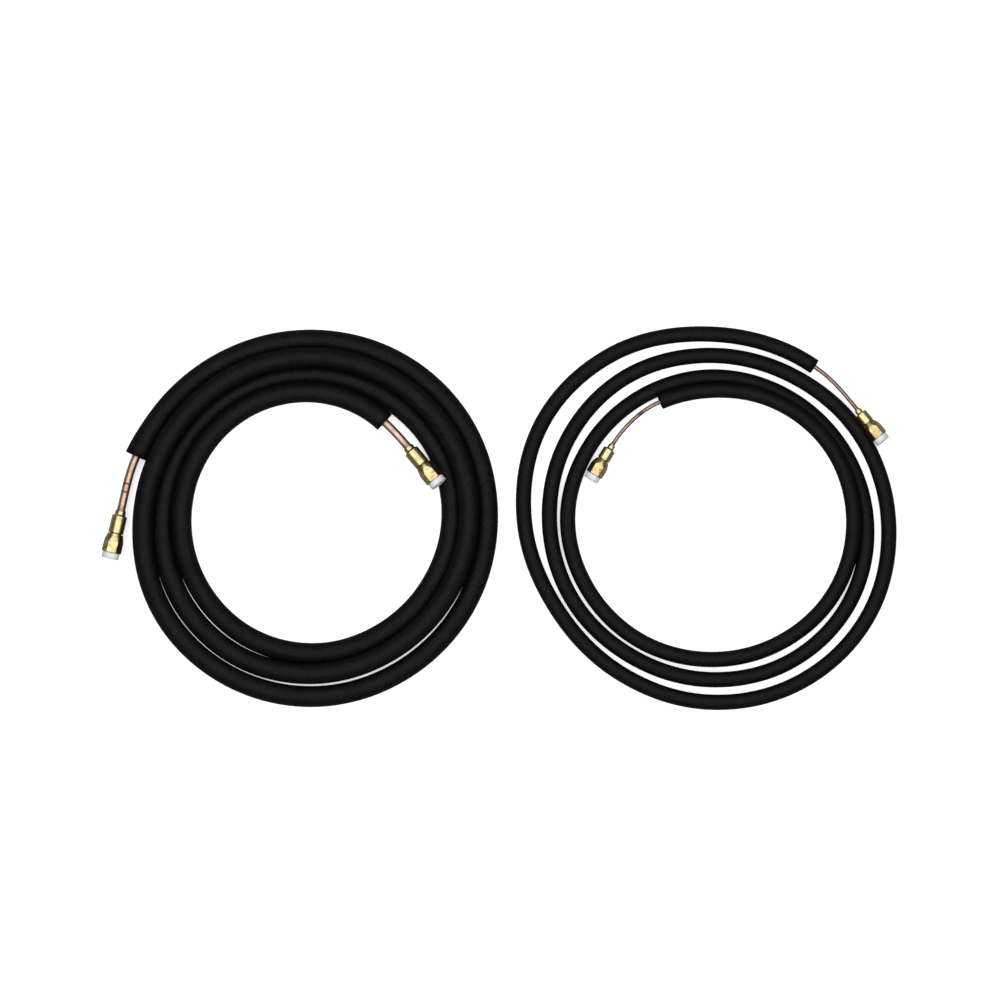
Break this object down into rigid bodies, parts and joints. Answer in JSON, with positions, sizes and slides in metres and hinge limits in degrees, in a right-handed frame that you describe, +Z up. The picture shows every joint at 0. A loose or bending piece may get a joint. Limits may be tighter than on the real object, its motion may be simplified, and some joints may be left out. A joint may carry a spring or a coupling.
{
  "type": "split air conditioner line set",
  "caption": "Coiled suction and liquid lines of copper tube in black foam sleeves, with brass swivel-nut couplings and white dust caps at their ends.",
  "frame": {"origin": "under the middle of the two coils, on the floor they lie on", "axes": "+X from the suction coil to the liquid coil, +Z up, +Y away from the viewer who sees the suction coil on the left"},
  "size_m": [1.2168, 0.588, 0.0595],
  "materials": {
    "black_foam": "matt closed-cell foam skin, nearly black, with a faint soft sheen",
    "copper": "bright drawn copper with a slight pink tarnish",
    "brass": "polished machined brass",
    "white_plastic": "satin white moulded plastic"
  },
  "bodies": {
    "lines": {"suction_sleeve_1": "black_foam", "suction_sleeve_2": "black_foam", "suction_sleeve_3": "black_foam", "suction_sleeve_4": "black_foam", "suction_sleeve_5": "black_foam", "suction_sleeve_6": "black_foam", "liquid_sleeve_1": "black_foam", "liquid_sleeve_2": "black_foam", "liquid_sleeve_3": "black_foam", "liquid_sleeve_4": "black_foam", "suction_tube": "copper", "liquid_tube": "copper", "suction_outer_coupling": "brass", "suction_inner_coupling": "brass", "liquid_outer_coupling": "brass", "liquid_inner_coupling": "brass"},
    "suction_outer_nut": {"suction_outer_nut": "brass"},
    "suction_outer_cap": {"suction_outer_cap": "white_plastic"},
    "suction_inner_nut": {"suction_inner_nut": "brass"},
    "suction_inner_cap": {"suction_inner_cap": "white_plastic"},
    "liquid_outer_nut": {"liquid_outer_nut": "brass"},
    "liquid_outer_cap": {"liquid_outer_cap": "white_plastic"},
    "liquid_inner_nut": {"liquid_inner_nut": "brass"},
    "liquid_inner_cap": {"liquid_inner_cap": "white_plastic"}
  },
  "joints": [
    {"name": "suction_outer_nut_swivel", "type": "hinge", "parent": "lines", "child": "suction_outer_nut", "pos_m": [-0.5901, -0.03861, 0.01857], "axis": [-0.2248, -0.9738, 0.0349], "continuous": true},
    {"name": "suction_outer_cap_pull", "type": "slide", "parent": "suction_outer_nut", "child": "suction_outer_cap", "axis": [-0.2248, -0.9738, 0.0349], "range_m": [0, 0.015]},
    {"name": "suction_inner_nut_swivel", "type": "hinge", "parent": "lines", "child": "suction_inner_nut", "pos_m": [-0.1066, 0.06982, 0.04321], "axis": [0.6379, -0.7604, 0.1219], "continuous": true},
    {"name": "suction_inner_cap_pull", "type": "slide", "parent": "suction_inner_nut", "child": "suction_inner_cap", "axis": [0.6379, -0.7604, 0.1219], "range_m": [0, 0.015]},
    {"name": "liquid_outer_nut_swivel", "type": "hinge", "parent": "lines", "child": "liquid_outer_nut", "pos_m": [0.57355, 0.13441, 0.02984], "axis": [0.6258, -0.7729, 0.1045], "continuous": true},
    {"name": "liquid_outer_cap_pull", "type": "slide", "parent": "liquid_outer_nut", "child": "liquid_outer_cap", "axis": [0.6258, -0.7729, 0.1045], "range_m": [0, 0.015]},
    {"name": "liquid_inner_nut_swivel", "type": "hinge", "parent": "lines", "child": "liquid_inner_nut", "pos_m": [0.15198, 0.07728, 0.02182], "axis": [-0.5296, -0.8476, 0.0349], "continuous": true},
    {"name": "liquid_inner_cap_pull", "type": "slide", "parent": "liquid_inner_nut", "child": "liquid_inner_cap", "axis": [-0.5296, -0.8476, 0.0349], "range_m": [0, 0.015]}
  ]
}
